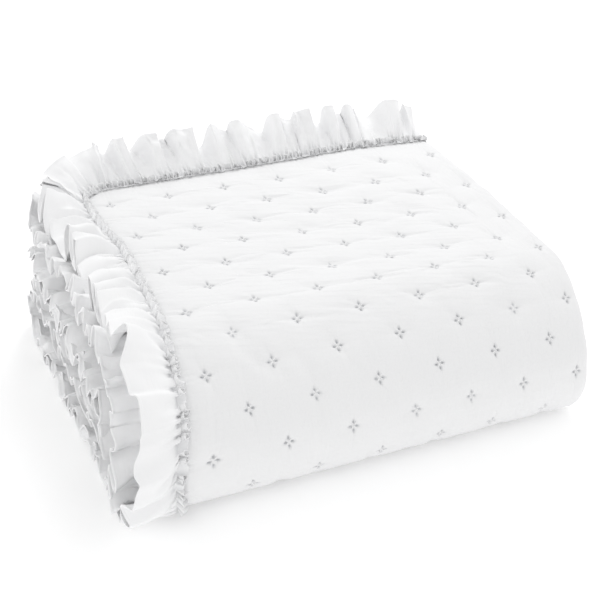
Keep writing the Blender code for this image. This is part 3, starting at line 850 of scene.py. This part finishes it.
def makeRuffle(name, locate, walked, turned, lies, seed, material):
    # Gathered strip: tight gathers at the seam run together into loose pleats
    angle, swing, heading, lean, boxy, sweep, curl = (column[:, None] for column in lies)
    s = walked[:, None]

    def varied(what, place=s):
        amount, reach, addedSeed = varies[what]
        return amount * wander(seed + addedSeed, place, reach)

    shownRows, hiddenRows = stripRows()
    headingLeft = np.clip(2 * heading - 1, 0, 1)
    distance = hiddenRows[None, :] + (shownRows - hiddenRows)[None, :] * headingLeft
    out = np.maximum(distance, 0.0)
    share = out / ruffle["width"]

    def near(strongest):
        # Strongest at one distance from the seam
        amount, at, reach = strongest
        return amount * np.exp(-((out - at) / reach) ** 2)

    uneven = ease(s / pleat["settled"])
    phase = 2 * math.pi * (turned[:, None] + pleat["startsAt"])
    phase = phase + uneven * (varied("phase") + varied("hemPhase") * share)
    phase = phase + uneven * varied("seamPhase") * (1 - share)
    size = 1 + uneven * varied("size")
    raw = np.sin(phase) + pleat["second"] * np.sin(2 * phase + uneven * varied("secondPhase"))
    wave = np.tanh(boxy * raw) / np.tanh(boxy)
    wave = pleat["peak"] * np.tanh(wave / pleat["peak"])
    reach = np.minimum(1.0, swing / pleat["fullSwing"])
    tilt = np.radians(angle + uneven * reach * varied("tilt"))
    grown = out / (out + pleat["root"])
    turnedOff = tilt + pleat["opens"] * swing / ruffle["width"] * size * wave * grown
    turnedOff = turnedOff - pleat["dips"] * share ** 2 * reach
    turnedOff = turnedOff + pleat["curls"] * curl * (pleat["curlsFrom"] - share)
    gatherPhase = 2 * math.pi * s / gather["length"] + varied("gatherPhase")
    fade = (out / gather["highest"]) * np.exp(1 - out / gather["highest"])
    fade = gather["atSeam"] + (1 - gather["atSeam"]) * fade
    gathers = gather["rise"] * (1 + varied("gatherSize")) * fade
    gathers = gathers * np.exp(-out / gather["reach"]) * np.sin(gatherPhase)
    middle = near(pleat["fold"]) * reach * np.sin(pleat["foldRate"] * phase + varied("foldPhase"))
    flutter = reach * varied("flutter") * share ** 2
    crumple = share * varied("crumple") * varied("crumpleOut", out + 0.35 * s)
    proud = middle + gathers * np.clip(out / gather["starts"], 0, 1) + flutter + crumple
    chord = out * (1 - pleat["curlDraws"] * curl * share)
    off = chord * np.sin(turnedOff) + proud * np.cos(turnedOff)
    drawn = chord * np.cos(turnedOff) - proud * np.sin(turnedOff)
    # The pleats lean over, and their sides and those of the little gathers overhang
    aside = -pleat["overhang"] * (swing / pleat["overhangSwing"]) * np.sin(2 * phase) * share
    aside = aside - lean * wave * share ** 0.8 * (1 + varied("lean")) + sweep * share ** 0.9
    aside = aside - near(gather["lean"]) * np.sin(2 * gatherPhase)
    # Inside the seam the heading stands up as a narrow frill
    inward = np.maximum(-distance, 0.0)
    fromSeam = inward / ruffle["heading"]
    frillWave = np.sin(gatherPhase + 0.8) * (1 + varied("frill"))
    frillTilt = frill["tilt"] + frill["swing"] * np.tanh(frill["crisp"] * frillWave)
    edgeWave = varied("frillEdge") + frill["edgeWave"] * np.sin(gatherPhase + 2.0)
    frillOut = frill["edge"] * fromSeam * edgeWave - inward * np.cos(frillTilt)
    frillAside = -frill["lean"] * fromSeam * np.sin(2 * gatherPhase + 1.6)
    aside = aside + np.where(inward > 0, frillAside, 0.0)
    placedOut = np.where(inward > 0, frillOut, drawn + np.minimum(distance, 0.0))
    surface = fold["cloth"] / 2 * hemmed(inward)
    clearShare = np.clip(2 * heading, 0, 1)
    clear = clearShare * (surface + frill["clear"] + inward * np.sin(frillTilt))
    points = locate(placedOut, off, clear, aside)
    points[..., 2] = np.maximum(points[..., 2], 0.0006)
    rows, columns = out.shape
    places = np.stack((np.broadcast_to(s * ruffle["weaveFullness"], out.shape), distance), axis=-1)
    faces = gridFaces(rows, columns)
    strip = smoothMesh(name, points.reshape(-1, 3), faces, places.reshape(-1, 2), material)
    # Painted shade: the colour darkens between the gathers near the seam
    between = np.clip(-np.sin(gatherPhase), 0, 1) ** 1.5
    paint(strip, "paintedShade", near(gather["paintedNotchShade"]) * clearShare * between)
    # The hem is thicker than the rest
    atHem = (distance > ruffle["width"] - ruffle["hemWidth"] + 0.0001).ravel()
    group = strip.vertex_groups.new(name="hem")
    group.add(np.flatnonzero(atHem).tolist(), 1.0, "REPLACE")
    group.add(np.flatnonzero(~atHem).tolist(), ruffle["cloth"] / ruffle["hem"], "REPLACE")
    solid = strip.modifiers.new("cloth", "SOLIDIFY")
    solid.thickness, solid.offset, solid.vertex_group = ruffle["hem"], 0.0, "hem"
    solid.use_even_offset = False
    print(name, rows, "by", columns, "points")
    return strip


def sideRuffle(name, far, lies, counts, seed, material):
    width = acrossLengths[6 if far else 0]
    edge, outward = (lastPlace, 1) if far else (0, -1)
    lengths = downLengthsAt(fold["acrossLayers"][3 if far else 0])
    radius = fold["cornerRadius"]
    start = radius / lengths[0]
    corner = math.pi / 2 * radius
    places, walked, turned = edgePoints([lengths[0] - radius, *lengths[1:]], counts, 0 if far else 2)
    cornerSteps = ruffle["cornerSteps"]
    roundIt = np.linspace(0, 1, cornerSteps, endpoint=False)
    turn = np.linspace(math.pi / 2, 0, cornerSteps, endpoint=False)
    down = np.where(places < 1, start + places * (1 - start), places)
    allTurned = np.concatenate((pleats["corner"] * roundIt, turned + pleats["corner"]))
    allWalked = np.concatenate((corner * roundIt, walked + corner))
    liePlaces = np.concatenate((np.zeros(cornerSteps), down))

    def locate(out, off, clear, aside):
        turnHere = turn[:, None] - aside[:cornerSteps] / (radius + np.maximum(out[:cornerSteps], 0.0))
        fromSide = radius - (radius + out[:cornerSteps]) * np.cos(turnHere)
        fromFoot = radius - (radius + out[:cornerSteps]) * np.sin(turnHere)
        u = edge + outward * -fromSide / width
        roundCorner = liftedOff(u, fromFoot / lengths[0], off[:cornerSteps], clear[:cornerSteps])
        piece = np.clip(np.floor(down), 0, lastPlace - 1).astype(int)
        v = down[:, None] + aside[cornerSteps:] / lengths[piece][:, None]
        u = edge + outward * out[cornerSteps:] / width
        return np.concatenate((roundCorner, liftedOff(u, v, off[cornerSteps:], clear[cornerSteps:])))

    return makeRuffle(name, locate, allWalked, allTurned, lieAt(lies, liePlaces), seed, material)


def footRuffle(name, lies, counts, seed, material):
    length = downLengthsAt(0)[0]
    keptClear = fold["cornerRadius"] + ruffle["seamGap"]
    start, end = keptClear / acrossLengths[0], 1 - keptClear / acrossLengths[6]
    places, walked, turned = edgePoints(acrossLengths, counts, 2)
    u = np.where(places < 1, start + places * (1 - start), places)
    lastFold = lastPlace - 1
    u = np.where(places > lastFold, lastFold + (places - lastFold) * end, u)

    def locate(out, off, clear, aside):
        piece = np.clip(np.floor(u), 0, lastPlace - 1).astype(int)
        return liftedOff(u[:, None] + aside / acrossLengths[piece][:, None], -out / length, off, clear)

    return makeRuffle(name, locate, walked, turned, lieAt(lies, u), seed, material)


# Floor, light and camera

stage = {
    "floor": 9.0, "floorColour": (0.99, 0.99, 0.99, 1.0), "sky": 0.90, "floorGlow": 0.14,
    "eye": (-0.5314, -1.2320, 0.9390), "down": 32.2, "turned": 21.55, "lens": 67.2, "sensor": 36.0,
}
lamps = (   # name, place, aimed at, size, watts
    ("softKey", (1.1, 1.9, 2.2), (0.0, 0.0, 0.1), 1.3, 22.0),
    ("softFill", (-2.5, 0.2, 0.5), (0.0, 0.0, 0.1), 1.4, 7.0),
)


def makeStage():
    side = stage["floor"] / 2
    points = np.array([(-side, -side, 0), (side, -side, 0), (side, side, 0), (-side, side, 0)], dtype=float)
    finish = Finish("paleFloor")
    cloth = finish.add("ShaderNodeUVMap", {"uv_map": "cloth"}, {})
    grain = finish.noise(cloth, 40.0, 3.0)
    finish.give("Roughness", 0.85 + (grain - 0.5) * 0.1)
    finish.give("Base Color", stage["floorColour"])
    finish.give("Specular IOR Level", 0.1)
    finish.give("Emission Color", stage["floorColour"])
    finish.give("Emission Strength", stage["floorGlow"])
    floor = smoothMesh("floor", points, [(0, 1, 2, 3)], points[:, :2], finish.material)
    world = bpy.data.worlds.new("paleSky")
    world.use_nodes = True
    world.node_tree.nodes["Background"].inputs["Color"].default_value = (1.0, 1.0, 1.0, 1.0)
    world.node_tree.nodes["Background"].inputs["Strength"].default_value = stage["sky"]
    bpy.context.scene.world = world
    bpy.context.scene.view_settings.view_transform = "Standard"
    for name, place, aim, size, watts in lamps:
        lamp = bpy.data.lights.new(name, "AREA")
        lamp.energy, lamp.size = watts, size
        item = bpy.data.objects.new(name, lamp)
        item.location = place
        x, y, z = np.array(aim) - np.array(place)
        item.rotation_euler = (math.atan2(math.hypot(x, y), -z), 0.0, math.atan2(y, x) - math.pi / 2)
        bpy.context.scene.collection.objects.link(item)
    camera = bpy.data.objects.new("camera", bpy.data.cameras.new("camera"))
    camera.data.lens, camera.data.sensor_width = stage["lens"], stage["sensor"]
    camera.location = stage["eye"]
    camera.rotation_euler = (math.radians(90 - stage["down"]), 0.0, math.radians(-stage["turned"]))
    bpy.context.scene.collection.objects.link(camera)
    bpy.context.scene.camera = camera
    print("floor, light and camera")


makeStage()
quilting = wovenCloth(quiltedCloth)
voile = wovenCloth(ruffleCloth)
thread = spunThread()

panel = makePanel(quilting)
stitches = makeStitches(thread)
nearRuffle = sideRuffle("nearSideRuffle", False, nearLie, pleats["near"], 100, voile)
farRuffle = sideRuffle("farSideRuffle", True, farLie, pleats["far"], 200, voile)
foot = footRuffle("footRuffle", footLie, pleats["foot"], 300, voile)

for piece, node, slot in (
    (panel, "quilted_panel", "quilted_cloth"), (nearRuffle, "near_side_ruffle", "ruffle_cloth"),
    (farRuffle, "far_side_ruffle", "ruffle_cloth"), (foot, "foot_ruffle", "ruffle_cloth"),
):
    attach(piece, "root")
    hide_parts(node)
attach(stitches, "root")
